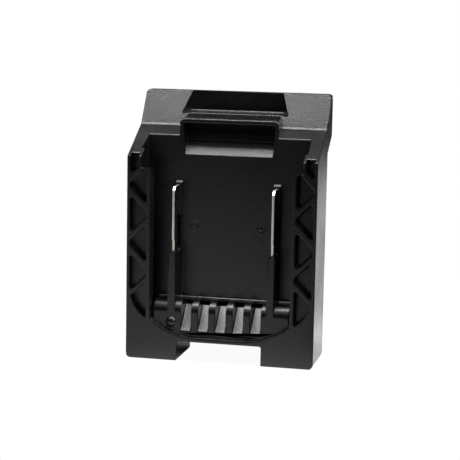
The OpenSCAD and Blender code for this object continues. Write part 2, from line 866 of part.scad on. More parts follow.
// Solid form of the rear cover's lower plate, head block and tool shoe
module cover_solid() {
    plate_w = hollow_w - 2 * cover_fit;
    tab_in = leg_in_x + cover_fit;
    along(cover_front, body_d) polygon([
        [-plate_w / 2, wall + cover_fit],
        [-tab_in, wall + cover_fit],
        [-tab_in, hollow_z + cover_fit],
        [tab_in, hollow_z + cover_fit],
        [tab_in, wall + cover_fit],
        [plate_w / 2, wall + cover_fit],
        [plate_w / 2, under_z(body_d, wall)],
        [-plate_w / 2, under_z(body_d, wall)]
    ]);
    across(plate_w) polygon([
        [cover_front, head_under_z - lap],
        [body_d, head_under_z - lap],
        [body_d, head_under_z],
        [body_d + wall, under_z(body_d + wall)],
        [body_d + wall, under_z(body_d + wall, wall)],
        [cover_front, under_z(cover_front, wall)]
    ]);
    across(body_w) polygon(rounded([
        [body_d + seam_gap, under_z(body_d + seam_gap), 0],
        [head_d, head_back_z, edge_r],
        [head_d, top_h - lid_t - seam_gap, 0],
        [cover_top[0], cover_top[1], 0],
        [cover_low[0], cover_low[1], 0]
    ]));
    block(neck_w, cover_front, head_d, shoe_z, head_back_z);
    block(shoe_w, cover_front, head_d, shoe_stop_z, head_back_z);
    along(shoe_d, head_d) polygon(rounded([
        [-shoe_w / 2, shoe_z, shoe_r],
        [shoe_w / 2, shoe_z, shoe_r],
        [shoe_w / 2, head_back_z + lap, 0],
        [-shoe_w / 2, head_back_z + lap, 0]
    ]));
}

// Space inside the rear cover
module cover_hollow() {
    across(body_w - 2 * wall) polygon([
        [cover_front - lap, under_z(cover_front - lap, wall)],
        [back_inner, under_z(back_inner, wall)],
        [back_inner, far],
        [cover_front - lap, far]
    ]);
    block(shoe_inner_w, 0, back_inner, shoe_z + wall, far);
}

// Guide walls beside the release slider, and the seats for all screws
module cover_inner() {
    both() block(guide_t, slider_d - release_travel, back_inner + lap, hook_z, guide_top_z,
                 slider_w / 2 + release_fit + guide_t / 2);
    both() rod(carrier_screw_x, carrier_screw_z, carrier_back, body_d - lap, carrier_boss_r);
    at_screws() rotate([90, 0, 0]) cylinder(r = boss_r + screw_r, h = seat_t);
}

// Rear shell with the tool shoe
module rear_cover() {
    carrier_pilot = carrier_screw_r + hole_fit;
    color(plastic) place() difference() {
        union() {
            difference() {
                cover_solid();
                cover_hollow();
            }
            cover_inner();
        }
        for (x = [-contact_x, 0, contact_x])
            block(contact_slot, body_d + lap, head_d + lap, shoe_z - lap, contact_slot_z, x);
        block(hook_w + 2 * release_fit, back_inner - lap, head_d + lap, hook_z - release_fit,
              hook_z + hook_h + release_fit);
        along(back_inner - lap, head_d + lap) button_outline(release_fit);
        both() rod(carrier_screw_x, carrier_screw_z, carrier_back - lap, body_d - lap / 2, carrier_pilot);
        at_screws() {
            rotate([-90, 0, 0]) cylinder(r = screw_head_r + screw_fit, h = sink_d + lap);
            rotate([90, 0, 0]) cylinder(r = screw_r + screw_fit, h = seat_t + lap);
        }
    }
}

// Upright terminal blade with its neck through the floor and its foot behind it
module blade() {
    across(blade_t, blade_x) polygon([
        [blade_front_d + blade_step, fin_z],
        [floor_d - rib_h, fin_z],
        [floor_d - rib_h, neck_z],
        [foot_back, neck_z],
        [foot_back, neck_z + neck_h],
        [floor_d - rib_h, neck_z + neck_h],
        [floor_d - rib_h, blade_top_z],
        [blade_front_d + blade_lead, blade_top_z],
        [blade_front_d, blade_top_z - blade_lead],
        [blade_front_d, fin_z + blade_step_h],
        [blade_front_d + blade_step, fin_z + blade_step_h]
    ]);
    difference() {
        foot_w = blade_x + blade_t / 2 - contact_x + busbar_w / 2;
        block(foot_w, floor_back, foot_back, neck_z, neck_z + neck_h, blade_x + blade_t / 2 - foot_w / 2);
        rod(contact_x, blade_rivet_z, floor_back - lap, foot_back + lap, rivet_r + hole_fit);
    }
}

module negative_blade() {
    color(nickel) place() mirror([1, 0, 0]) blade();
}

module positive_blade() {
    color(nickel) place() blade();
}

// Rivets that join each blade's foot to its busbar
module blade_rivets() {
    color(steel) place() both() {
        rod(contact_x, blade_rivet_z, floor_back, busbar_back + lap / 2, rivet_r);
        rod(contact_x, blade_rivet_z, busbar_back, busbar_back + rivet_head_h, rivet_head_r);
    }
}

// Flat strip from a blade's foot down to the tool-side contact
module busbar() {
    difference() {
        block(busbar_w, foot_back, busbar_back, contact_z, neck_z + neck_h, contact_x);
        rod(contact_x, blade_rivet_z, foot_back - lap, busbar_back + lap, rivet_r + hole_fit);
        rod(contact_x, contact_rivet_z, foot_back - lap, busbar_back + lap, rivet_r + hole_fit);
    }
}

module negative_busbar() {
    color(copper) place() mirror([1, 0, 0]) busbar();
}

module positive_busbar() {
    color(copper) place() busbar();
}

// Places of the stakes that hold the signal board
module at_stakes() {
    both() translate([board_w / 2 - 2 * stake_r, 0, contact_top_z - 2 * stake_r]) children();
}

// Insulating plate that holds the tool-side contacts
module contact_carrier() {
    color(inner_plastic) place() {
        difference() {
            block(carrier_w, busbar_back, carrier_back, carrier_z, carrier_top_z);
            both()
                rod(contact_x, contact_rivet_z, busbar_back - lap, carrier_back + lap, rivet_r + hole_fit);
            both() rod(carrier_screw_x, carrier_screw_z, busbar_back - lap, carrier_back + lap,
                       carrier_screw_r + hole_fit);
        }
        at_stakes() rod(0, 0, carrier_back - carrier_t / 2, board_back + leaf_t, stake_r);
    }
}

// Two screws that hold the carrier on the rear cover's bosses
module carrier_screws() {
    color(steel) place() both() {
        rod(carrier_screw_x, carrier_screw_z, busbar_back - lap / 2, body_d - lap, carrier_screw_r);
        difference() {
            rod(carrier_screw_x, carrier_screw_z, busbar_back - carrier_head_h, busbar_back, carrier_head_r);
            drive_slots(carrier_screw_x, busbar_back - carrier_head_h, carrier_screw_z, carrier_head_r);
        }
    }
}

// Cross slots in a screw head whose face is at depth d
module drive_slots(x, d, z, head_r) {
    slot_t = drive_share * head_r;
    block(head_r, d - slot_t, d + slot_t, z - slot_t / 2, z + slot_t / 2, x);
    block(slot_t, d - slot_t, d + slot_t, z - head_r / 2, z + head_r / 2, x);
}

// Two bowed leaves that grip the tool's blade, from depth d back to the shoe's wall
module fork(d) {
    tip = back_inner - leaf_tip_gap;
    middle = (d + tip) / 2;
    in = pinch_gap / 2;
    root = contact_slot / 2 - leaf_t;
    both() translate([0, 0, contact_z]) linear_extrude(leaf_h) polygon([
        [root, d - leaf_t / 2],
        [root + leaf_t, d - leaf_t / 2],
        [in + leaf_t, middle],
        [root + leaf_t, tip],
        [root, tip],
        [in, middle]
    ]);
}

// Fork contact on its riveted base
module power_contact() {
    translate([contact_x, 0, 0]) fork(contact_back);
    difference() {
        block(contact_w, carrier_back, contact_back, contact_z, contact_top_z, contact_x);
        rod(contact_x, contact_rivet_z, carrier_back - lap, contact_back + lap, rivet_r + hole_fit);
    }
}

module negative_contact() {
    color(nickel) place() mirror([1, 0, 0]) power_contact();
}

module positive_contact() {
    color(nickel) place() power_contact();
}

// Rivets through busbar, carrier and contact base
module contact_rivets() {
    color(steel) place() both() {
        rod(contact_x, contact_rivet_z, foot_back - rivet_head_h / 2, contact_back + rivet_head_h / 2,
            rivet_r);
        rod(contact_x, contact_rivet_z, foot_back - rivet_head_h, foot_back, rivet_head_r);
        rod(contact_x, contact_rivet_z, contact_back, contact_back + rivet_head_h, rivet_head_r);
    }
}

// Small circuit board between the power contacts
module signal_board() {
    color(board_green) place() difference() {
        block(board_w, carrier_back, board_back, contact_z, contact_top_z);
        at_stakes() rod(0, 0, carrier_back - lap, board_back + lap, stake_r + hole_fit);
    }
}

module signal_contact() {
    color(nickel) place() {
        fork(signal_back);
        block(signal_w, board_back, signal_back, contact_z, fork_top_z);
    }
}

module id_resistor() {
    centre_z = (fork_top_z + contact_top_z) / 2;
    color(inner_plastic) place() {
        block(resistor_w, board_back, board_back + resistor_t, centre_z - resistor_h / 2,
              centre_z + resistor_h / 2);
        for (side = [-1, 1])
            block(cap_w, board_back, board_back + resistor_t + cap_t, centre_z - resistor_h / 2 - cap_t,
                  centre_z + resistor_h / 2 + cap_t, side * (resistor_w - cap_w) / 2);
    }
}

// Bent strip from the signal board to the negative contact's base
module jumper_link() {
    board_edge = board_w / 2;
    base_edge = contact_x - contact_w / 2;
    low = contact_back;
    high = board_back;
    reach = rivet_head_r / 2;
    bend_x = (base_edge - board_edge) / 4;
    z = fork_top_z + jumper_h / 2;
    color(copper) place() mirror([1, 0, 0]) translate([0, 0, z]) linear_extrude(jumper_h, center = true)
        polygon([
            [board_edge - reach, high],
            [board_edge + bend_x, high],
            [base_edge - bend_x, low],
            [base_edge + reach, low],
            [base_edge + reach, low + jumper_t],
            [base_edge - bend_x + jumper_t / 2, low + jumper_t],
            [board_edge + bend_x + jumper_t / 2, high + jumper_t],
            [board_edge - reach, high + jumper_t]
        ]);
}

// Front outline of the push button, grown by t
module button_outline(t) {
    w = button_w / 2 + t;
    low = button_z - t;
    high = button_top_z + t;
    polygon(rounded([[-w, low, button_r], [w, low, button_r], [w, high, button_r], [-w, high, button_r]]));
}

// Catch: a plate with the hook that locks into the tool's foot
module release_slider() {
    tip = head_d + hook_out;
    color(inner_plastic) place() {
        block(slider_w, slider_d, slider_back, hook_z, slider_top_z);
        across(hook_w) polygon([
            [slider_back - lap, hook_z],
            [tip - hook_ramp, hook_z],
            [tip, hook_z + hook_ramp],
            [tip, hook_z + hook_h],
            [slider_back - lap, hook_z + hook_h]
        ]);
        both() rod(spring_x, spring_z, slider_d - spigot_l, slider_d + lap, spigot_r);
    }
}

// Push button that sits on the slider and shows in the shoe's back
module release_button() {
    face = head_d + button_out;
    groove_n = 3;
    groove_pitch = button_h / (groove_n + 1);
    groove_r = groove_pitch / 4;
    color(plastic) place() difference() {
        union() {
            along(slider_back, face) button_outline(0);
            along(slider_back, slider_back + flange_t) button_outline(flange_margin);
        }
        for (i = [1:groove_n])
            translate([0, face, button_z + i * groove_pitch]) rotate([0, 90, 0])
                cylinder(r = groove_r, h = button_w - 2 * button_r, center = true);
    }
}

// Helical spring wire between the dock floor and the slider
module return_spring(x) {
    rings = 8;
    sides = 6;
    first = floor_back + wire_r;
    last = slider_d - wire_r;
    rise = (last - first) / spring_turns;
    n = rings * spring_turns;
    lean = atan2(rise, 2 * PI * spring_r);
    function centre(i) = let (a = 360 * i / rings)
        [spring_r * cos(a), first + rise * i / rings, spring_r * sin(a)];
    function point(i, j) = let (a = 360 * i / rings, b = 360 * j / sides, out = [cos(a), 0, sin(a)],
        up = [sin(a) * sin(lean), cos(lean), -cos(a) * sin(lean)])
        centre(i) + wire_r * (cos(b) * out + sin(b) * up);
    least = min([for (i = [0:n - rings]) norm(centre(i + rings) - centre(i)) - 2 * wire_r]);
    echo(spring_gap = least);
    points = concat([for (i = [0:n]) for (j = [0:sides - 1]) point(i, j)], [centre(0), centre(n)]);
    function at(i, j) = i * sides + j % sides;
    skin = [for (i = [0:n - 1]) for (j = [0:sides - 1]) each [
        [at(i, j), at(i + 1, j), at(i + 1, j + 1)],
        [at(i, j), at(i + 1, j + 1), at(i, j + 1)]
    ]];
    ends = [for (j = [0:sides - 1]) each [
        [len(points) - 2, at(0, j), at(0, j + 1)],
        [len(points) - 1, at(n, j + 1), at(n, j)]
    ]];
    translate([x, 0, spring_z]) polyhedron(points, concat(skin, ends));
}

module left_return_spring() {
    color(steel) place() return_spring(-spring_x);
}

module right_return_spring() {
    color(steel) place() return_spring(spring_x);
}

// Self-tapping screws that join the two shells
module housing_screws() {
    color(steel) place() at_screws() {
        rotate([90, 0, 0]) translate([0, 0, -lap / 2]) cylinder(r = screw_r, h = screw_l + lap / 2);
        difference() {
            rotate([-90, 0, 0]) cylinder(r = screw_head_r, h = screw_head_h);
            drive_slots(0, screw_head_h, 0, screw_head_r);
        }
    }
}

dock_housing();
rear_cover();
negative_blade();
positive_blade();
blade_rivets();
negative_busbar();
positive_busbar();
contact_carrier();
carrier_screws();
negative_contact();
positive_contact();
contact_rivets();
signal_board();
signal_contact();
id_resistor();
jumper_link();
release_slider();
release_button();
left_return_spring();
right_return_spring();
housing_screws();
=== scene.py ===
import bpy
import numpy as np
from mathutils import Matrix, Vector


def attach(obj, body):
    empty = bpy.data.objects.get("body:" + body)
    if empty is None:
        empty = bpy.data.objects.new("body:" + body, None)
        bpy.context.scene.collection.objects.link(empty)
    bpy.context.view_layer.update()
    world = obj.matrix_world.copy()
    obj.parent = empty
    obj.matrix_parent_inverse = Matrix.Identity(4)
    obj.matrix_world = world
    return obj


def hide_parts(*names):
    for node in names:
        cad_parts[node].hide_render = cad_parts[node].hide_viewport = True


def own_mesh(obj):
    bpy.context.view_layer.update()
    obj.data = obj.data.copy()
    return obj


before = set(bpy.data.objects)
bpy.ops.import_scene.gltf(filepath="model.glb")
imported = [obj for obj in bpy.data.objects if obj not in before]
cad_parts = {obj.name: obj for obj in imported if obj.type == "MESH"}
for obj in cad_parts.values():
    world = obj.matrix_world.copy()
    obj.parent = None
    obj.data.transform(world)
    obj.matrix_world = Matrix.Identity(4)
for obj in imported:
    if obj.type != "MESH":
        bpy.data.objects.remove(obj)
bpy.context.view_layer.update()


# Front shell with the battery dock: one injection moulding in black glass-filled nylon, with spark-eroded
# grain on every outer face. Its edges come out of the tool slightly rounded. Six screws from behind hold it.

def tree_node(tree, kind, properties=None, **inputs):
    """A node in a node tree, with its properties and the values of its input sockets."""
    node = tree.nodes.new(kind)
    for key, value in (properties or {}).items():
        setattr(node, key, value)
    for key, value in inputs.items():
        node.inputs[key.replace("_", " ")].default_value = value
    return node


def math_step(tree, operation, *values):
    """One step of arithmetic in a node tree. Each value is a number or the output of another node."""
    step = tree_node(tree, "ShaderNodeMath", {"operation": operation})
    for socket, value in zip(step.inputs, values):
        if isinstance(value, float):
            socket.default_value = value
        else:
            tree.links.new(value, socket)
    return step.outputs[0]


def geometry_group(name):
    """An empty node group for a modifier: returns it with the geometry that comes in and the socket that the
    geometry leaves by."""
    group = bpy.data.node_groups.new(name, "GeometryNodeTree")
    for direction in ("INPUT", "OUTPUT"):
        group.interface.new_socket("Geometry", in_out=direction, socket_type="NodeSocketGeometry")
    return group, tree_node(group, "NodeGroupInput").outputs[0], tree_node(group, "NodeGroupOutput").inputs[0]


def edge_shares(name, turn, calm):
    """A node group that stores how much each edge is rounded: 1 where it turns by more than `turn` degrees,
    and less in the boxes of `calm`, which are rows of a lowest corner, a highest corner and the share kept.
    Left and right are alike: a point P = (|x|, y, z) is in a box where the largest part of
    |P - centre| - half size is below 0."""
    group, solid, marked = geometry_group(name)
    link = group.links.new
    angle = tree_node(group, "GeometryNodeInputMeshEdgeAngle").outputs["Unsigned Angle"]
    share = math_step(group, "GREATER_THAN", angle, np.radians(turn))
    place = tree_node(group, "ShaderNodeSeparateXYZ")
    link(tree_node(group, "GeometryNodeInputPosition").outputs[0], place.inputs[0])
    mirrored = tree_node(group, "ShaderNodeCombineXYZ")
    link(math_step(group, "ABSOLUTE", place.outputs["X"]), mirrored.inputs["X"])
    for axis in ("Y", "Z"):
        link(place.outputs[axis], mirrored.inputs[axis])
    for low, high, kept in calm:
        centre, half_size = np.add(high, low) / 2.0, np.subtract(high, low) / 2.0
        here = mirrored.outputs[0]
        for operation, value in (("SUBTRACT", centre), ("ABSOLUTE", None), ("SUBTRACT", half_size)):
            step = tree_node(group, "ShaderNodeVectorMath", {"operation": operation})
            link(here, step.inputs[0])
            if value is not None:
                step.inputs[1].default_value = value
            here = step.outputs[0]
        parts = tree_node(group, "ShaderNodeSeparateXYZ")
        link(here, parts.inputs[0])
        largest = math_step(group, "MAXIMUM", parts.outputs["X"], parts.outputs["Y"])
        largest = math_step(group, "MAXIMUM", largest, parts.outputs["Z"])
        inside = math_step(group, "LESS_THAN", largest, 0.0)
        share = math_step(group, "MULTIPLY", share, math_step(group, "MULTIPLY_ADD", inside, kept - 1.0, 1.0))
    store = tree_node(group, "GeometryNodeStoreNamedAttribute", {"data_type": "FLOAT", "domain": "EDGE"},
                      Name="bevel_weight_edge")
    link(solid, store.inputs["Geometry"])
    link(share, store.inputs["Value"])
    link(store.outputs[0], marked)
    return group


def smooth_faces():
    """A node group that shades all faces smoothly, apart from edges that turn by more than 40 degrees."""
    name, crease = "smooth_faces", np.radians(40.0)
    if name in bpy.data.node_groups:
        return bpy.data.node_groups[name]
    group, solid, shaded = geometry_group(name)
    link = group.links.new
    faces = tree_node(group, "GeometryNodeSetShadeSmooth", {"domain": "FACE"})
    creases = tree_node(group, "GeometryNodeSetShadeSmooth", {"domain": "EDGE"}, Shade_Smooth=False)
    angle = tree_node(group, "GeometryNodeInputMeshEdgeAngle").outputs["Unsigned Angle"]
    link(solid, faces.inputs["Geometry"])
    link(faces.outputs[0], creases.inputs["Geometry"])
    link(math_step(group, "GREATER_THAN", angle, crease), creases.inputs["Selection"])
    link(creases.outputs[0], shaded)
    return group


def soften_edges(node, width, turn=28.0, calm=()):
    """Rounds every edge of a carried solid that turns by more than `turn` degrees, with a two-step arc whose
    face is that wide, and shades it smoothly. The triangles of one flat face are joined first, so that only
    true edges count. In the boxes of `calm` a share of the width is kept."""
    same_point, same_plane, area_weight = 1e-5, np.radians(1.0), 80
    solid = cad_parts[node]
    weld = solid.modifiers.new("joined_triangles", "WELD")
    weld.merge_threshold = same_point
    flats = solid.modifiers.new("flat_faces", "DECIMATE")
    flats.decimate_type = "DISSOLVE"
    flats.angle_limit = same_plane
    shares = solid.modifiers.new("edge_shares", "NODES")
    shares.node_group = edge_shares(node + "_edges", turn, calm)
    edges = solid.modifiers.new("moulded_edges", "BEVEL")
    edges.width = width
    edges.offset_type = "WIDTH"
    edges.segments = 2
    edges.limit_method = "WEIGHT"
    edges.use_clamp_overlap = False
    edges.loop_slide = False
    edges.miter_outer = "MITER_SHARP"
    smooth = solid.modifiers.new("smooth_faces", "NODES")
    smooth.node_group = smooth_faces()
    normals = solid.modifiers.new("face_normals", "WEIGHTED_NORMAL")
    normals.weight = area_weight
    normals.keep_sharp = True


def new_material(name):
    """An empty material: returns it with its node tree, its surface node and its object coordinates."""
    material = bpy.data.materials.new(name)
    material.use_nodes = True
    tree = material.node_tree
    tree.nodes.clear()
    out = tree_node(tree, "ShaderNodeOutputMaterial")
    surface = tree_node(tree, "ShaderNodeBsdfPrincipled")
    tree.links.new(surface.outputs["BSDF"], out.inputs["Surface"])
    return material, tree, surface, tree_node(tree, "ShaderNodeTexCoord").outputs["Object"]


def noise(tree, where, scale, detail, roughness):
    """Noise with that many cells a metre, at the given coordinates."""
    texture = tree_node(tree, "ShaderNodeTexNoise", Scale=scale, Detail=detail, Roughness=roughness)
    tree.links.new(where, texture.inputs["Vector"])
    return texture.outputs["Fac"]


def mapped(tree, value, source, target):
    """Carries a value evenly from the source range to the target range, and holds it at their ends."""
    step = tree_node(tree, "ShaderNodeMapRange", From_Min=source[0], From_Max=source[1],
                     To_Min=target[0], To_Max=target[1])
    tree.links.new(value, step.inputs["Value"])
    return step.outputs["Result"]


def toned(tree, value, source, dark, light):
    """Carries a value from the source range to a colour between the dark tone and the light one."""
    ramp = tree_node(tree, "ShaderNodeValToRGB")
    for stop, position, tone in zip(ramp.color_ramp.elements, source, (dark, light)):
        stop.position = position
        stop.color = (*tone, 1.0)
    tree.links.new(value, ramp.inputs["Fac"])
    return ramp.outputs["Color"]


def grained_plastic(name, tone, roughness, grain, depth):
    """Moulded plastic: eroded grain of that size and depth as bump, two thirds coarse and one third fine, and
    slow flow marks that move the tone by a fifth and the roughness by 0.05 either way."""
    material, tree, surface, where = new_material(name)
    link = tree.links.new
    flow_scale, flow_range, fine_scale, fine_share = 55.0, (0.3, 0.7), 2.3, 0.35
    heights = tree_node(tree, "ShaderNodeMix", {"data_type": "FLOAT"}, Factor=fine_share)
    bump = tree_node(tree, "ShaderNodeBump", Strength=1.0, Distance=depth)
    link(noise(tree, where, 1.0 / grain, detail=1.0, roughness=0.5), heights.inputs["A"])
    link(noise(tree, where, fine_scale / grain, detail=1.0, roughness=0.5), heights.inputs["B"])
    link(heights.outputs["Result"], bump.inputs["Height"])
    link(bump.outputs["Normal"], surface.inputs["Normal"])
    flow = noise(tree, where, flow_scale, detail=3.0, roughness=0.55)
    link(mapped(tree, flow, flow_range, (roughness - 0.05, roughness + 0.05)), surface.inputs["Roughness"])
    dark, light = [0.8 * c for c in tone], [1.2 * c for c in tone]
    link(toned(tree, flow, flow_range, dark, light), surface.inputs["Base Color"])
    surface.inputs["IOR"].default_value = 1.44
    return material


def finish_node(node, material):
    """Gives a carried solid its finish."""
    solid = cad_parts[node]
    solid.data.materials.clear()
    solid.data.materials.append(material)


black_grain = grained_plastic("black_grain", tone=(0.0025, 0.0025, 0.0026), roughness=0.25,
                              grain=0.0006, depth=0.00011)
housing_edge = 0.00068
# Places where faces are too narrow for the full rounding, or where the real edges are sharper.
calm_boxes = {
    "feet": ((0.0, -0.02, -0.001), (0.04, 0.02, 0.0013), 0.0),
    "lid": ((0.0, -0.02, 0.1068), (0.04, 0.02, 0.12), 0.0),
    "recess": ((0.0, 0.0003, 0.0945), (0.03, 0.012, 0.1068), 0.6),
    "polarity_marks": ((0.0115, -0.006, 0.0513), (0.0167, -0.005, 0.0565), 0.4),
    "vent_bridge": ((0.0, -0.0072, 0.0232), (0.0185, -0.0055, 0.0262), 0.25),
    "hood_corners": ((0.0203, -0.006, 0.09), (0.0207, -0.004, 0.099), 0.0),
    "hood_ends": ((0.0203, -0.002, 0.091), (0.0207, 0.0045, 0.0985), 0.0),
    "sill_ends": ((0.0278, -0.0066, 0.016), (0.029, -0.0045, 0.0262), 0.0),
    "mouth_middle": ((0.0, -0.0195, 0.0085), (0.0185, -0.0155, 0.0112), 0.6),
    "mouth_ends": ((0.0185, -0.0195, 0.0085), (0.03, -0.0155, 0.018), 0.6),
    "lip_tops": ((0.0285, -0.0195, 0.0755), (0.0335, -0.0165, 0.08), 0.18),
}
soften_edges("dock_housing", housing_edge, calm=calm_boxes.values())
finish_node("dock_housing", black_grain)


# Rear shell with the tool shoe: moulded in the same black glass-filled nylon with the same grain. It sits in
# the front shell's rim behind a fine joint, and takes the heads of the six screws in its counterbores.

soften_edges("rear_cover", 0.00028)
finish_node("rear_cover", black_grain)


# Terminal blades: stamped from brass sheet about 1 mm thick and nickel plated, pressed through the dock
# floor. The sheared edge that faces forward is burnished and mottled, and the flat sides are bright.

def plated_metal(name, colour, roughness, grain, depth, side_roughness=None):
    """Plated sheet: fine streaks of that grain from rolling along Z as bump, and blotches of duller, darker
    plating. Where a roughness for the flat sides is given, the faces whose normal lies along X are rolled
    smooth: they take it, and lose the streaks."""
    material, tree, surface, where = new_material(name)
    link = tree.links.new
    rolled_out, blotch_scale = (1.0, 1.0, 0.12), 420.0
    stretch = tree_node(tree, "ShaderNodeMapping", Scale=rolled_out)
    bump = tree_node(tree, "ShaderNodeBump", Strength=1.0, Distance=depth)
    link(where, stretch.inputs["Vector"])
    streaks = noise(tree, stretch.outputs["Vector"], 1.0 / grain, detail=4.0, roughness=0.65)
    link(streaks, bump.inputs["Height"])
    link(bump.outputs["Normal"], surface.inputs["Normal"])
    blotches = noise(tree, where, blotch_scale, detail=3.0, roughness=0.6)
    finish = mapped(tree, blotches, (0.3, 0.7), (roughness - 0.08, roughness + 0.12))
    if side_roughness is not None:
        facing = tree_node(tree, "ShaderNodeSeparateXYZ")
        link(tree_node(tree, "ShaderNodeNewGeometry").outputs["Normal"], facing.inputs[0])
        flat = mapped(tree, math_step(tree, "ABSOLUTE", facing.outputs["X"]), (0.8, 0.97), (0.0, 1.0))
        link(math_step(tree, "SUBTRACT", 1.0, flat), bump.inputs["Strength"])
        smoothed = tree_node(tree, "ShaderNodeMix", {"data_type": "FLOAT"}, B=side_roughness)
        link(flat, smoothed.inputs["Factor"])
        link(finish, smoothed.inputs["A"])
        finish = smoothed.outputs["Result"]
    link(finish, surface.inputs["Roughness"])
    dulled = [0.82 * c for c in colour]
    link(toned(tree, blotches, (0.25, 0.65), dulled, colour), surface.inputs["Base Color"])
    surface.inputs["Metallic"].default_value = 1.0
    return material


nickel = plated_metal("nickel_plate", colour=(0.80, 0.77, 0.69), roughness=0.36, grain=0.0003, depth=0.000015,
                      side_roughness=0.12)
for blade in ("negative_blade", "positive_blade"):
    soften_edges(blade, 0.0003)
    finish_node(blade, nickel)


# Rivets: headed from zinc plated steel wire. Some clench a blade's foot to its busbar, and others hold
# busbar, carrier and contact together.

zinc = plated_metal("zinc_steel", colour=(0.56, 0.57, 0.58), roughness=0.38, grain=0.0004, depth=0.00001)
for rivets in ("blade_rivets", "contact_rivets"):
    soften_edges(rivets, 0.0001)
    finish_node(rivets, zinc)


# Busbars: strips sheared from half-hard copper and left bare. They are riveted to the blades' feet at one end
# and to the contacts at the other.

copper = plated_metal("copper_strip", colour=(0.78, 0.42, 0.27), roughness=0.34, grain=0.0004, depth=0.00001)
for busbar in ("negative_busbar", "positive_busbar"):
    soften_edges(busbar, 0.0001)
    finish_node(busbar, copper)


# Contact carrier: insulating plate moulded in smooth dark nylon. Zinc plated screws hold it on two bosses of
# the rear shell.

dark_nylon = grained_plastic("dark_nylon", tone=(0.03, 0.03, 0.032), roughness=0.36,
                             grain=0.0009, depth=0.000008)
soften_edges("contact_carrier", 0.0002)
finish_node("contact_carrier", dark_nylon)
soften_edges("carrier_screws", 0.0001)
finish_node("carrier_screws", zinc)


# Fork contacts of the tool side: bent from nickel plated spring bronze, riveted to the carrier or soldered
# to the signal board.

for contact in ("negative_contact", "positive_contact", "signal_contact"):
    soften_edges(contact, 0.00008)
    finish_node(contact, nickel)


# Signal board: glass-epoxy laminate under green solder mask, held on two stakes of the carrier, with one chip
# resistor and a copper link to the negative contact.

def solder_mask(name, colour):
    """Green lacquer over laminate: the glass cloth shows as a faint square weave under the gloss. The weave
    is the product of two waves, one along X and one along Z."""
    material, tree, surface, where = new_material(name)
    link = tree.links.new
    yarn_scale, yarn_wander, weave_depth = 700.0, 0.4, 0.000006
    yarns = []
    for direction in ("X", "Z"):
        wave = tree_node(tree, "ShaderNodeTexWave", {"bands_direction": direction}, Scale=yarn_scale,
                         Distortion=yarn_wander)
        link(where, wave.inputs["Vector"])
        yarns.append(wave.outputs["Fac"])
    weave = math_step(tree, "MULTIPLY", *yarns)
    bump = tree_node(tree, "ShaderNodeBump", Strength=1.0, Distance=weave_depth)
    link(weave, bump.inputs["Height"])
    link(bump.outputs["Normal"], surface.inputs["Normal"])
    link(toned(tree, weave, (0.0, 1.0), [0.7 * c for c in colour], colour), surface.inputs["Base Color"])
    surface.inputs["Roughness"].default_value = 0.22
    return material


soften_edges("signal_board", 0.0001)
finish_node("signal_board", solder_mask("solder_mask", (0.03, 0.16, 0.07)))
soften_edges("id_resistor", 0.00005)
finish_node("id_resistor", dark_nylon)
soften_edges("jumper_link", 0.00005)
finish_node("jumper_link", copper)


# Release catch: slider with its hook in smooth nylon, and the ribbed push button in the shells' grained
# plastic. Both travel forward together when the button is pressed.

soften_edges("release_slider", 0.0002)
finish_node("release_slider", dark_nylon)
soften_edges("release_button", 0.0003)
finish_node("release_button", black_grain)


# Return springs: wound from bright spring steel wire over spigots of the front shell and the slider, with the
# last turn at each end closed flat. Real ones shorten when the button is pressed; these are fixed coils.

def coil_spring(name, centre_x, centre_z, y_start, y_end, coil_radius, wire_radius, turns, closed_turns):
    """Tube round a helix. Along the wire, t runs from 0 to 1 and the angle is 2 pi turns t. The rise is just
    over one wire thickness a turn in the closed end turns, and even in the turns between. Round the wire, s
    runs once about it, from the direction away from the coil's axis."""
    along, around, closed_rise = 420, 12, 2.04 * wire_radius
    t = np.linspace(0.0, 1.0, along)
    angle = 2.0 * np.pi * turns * t
    low, high, step = y_start + wire_radius, y_end - wire_radius, closed_rise * closed_turns
    y = np.interp(turns * t, [0.0, closed_turns, turns - closed_turns, turns],
                  [low, low + step, high - step, high])
    centre = np.stack([coil_radius * np.cos(angle), y, coil_radius * np.sin(angle)], axis=1)
    outward = np.stack([np.cos(angle), np.zeros(along), np.sin(angle)], axis=1)
    tangent = np.gradient(centre, axis=0)
    tangent /= np.linalg.norm(tangent, axis=1, keepdims=True)
    upward = np.cross(tangent, outward)
    s = np.linspace(0.0, 2.0 * np.pi, around, endpoint=False)
    ring = outward[:, None] * np.cos(s)[None, :, None] + upward[:, None] * np.sin(s)[None, :, None]
    skin = (centre[:, None] + wire_radius * ring).reshape(-1, 3) + np.array([centre_x, 0.0, centre_z])
    i, j = np.meshgrid(np.arange(along - 1), np.arange(around), indexing="ij")
    j_next = (j + 1) % around
    quads = np.stack([(i + 1) * around + j, (i + 1) * around + j_next, i * around + j_next, i * around + j],
                     axis=-1)
    first_end = np.arange(around)
    last_end = np.arange(along * around - 1, (along - 1) * around - 1, -1)
    mesh = bpy.data.meshes.new(name)
    faces = quads.reshape(-1, 4).tolist() + [first_end.tolist(), last_end.tolist()]
    mesh.from_pydata(skin.tolist(), [], faces)
    mesh.polygons.foreach_set("use_smooth", np.ones(len(mesh.polygons), bool))
    piece = bpy.data.objects.new(name, mesh)
    bpy.context.scene.collection.objects.link(piece)
    return piece


spring_wire = plated_metal("spring_wire", colour=(0.62, 0.62, 0.61), roughness=0.24,
                           grain=0.0003, depth=0.000004)
spring_x, spring_z, spring_ends = 0.006, 0.077, (-0.00345, 0.00815)
for hand, sign in (("left", -1.0), ("right", 1.0)):
    spring = coil_spring(hand + "_coil_spring", sign * spring_x, spring_z, *spring_ends,
                         coil_radius=0.0023, wire_radius=0.00035, turns=7.0, closed_turns=1.0)
    spring.data.materials.append(spring_wire)
    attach(spring, "adapter")
    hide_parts(hand + "_return_spring")
    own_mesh(spring)


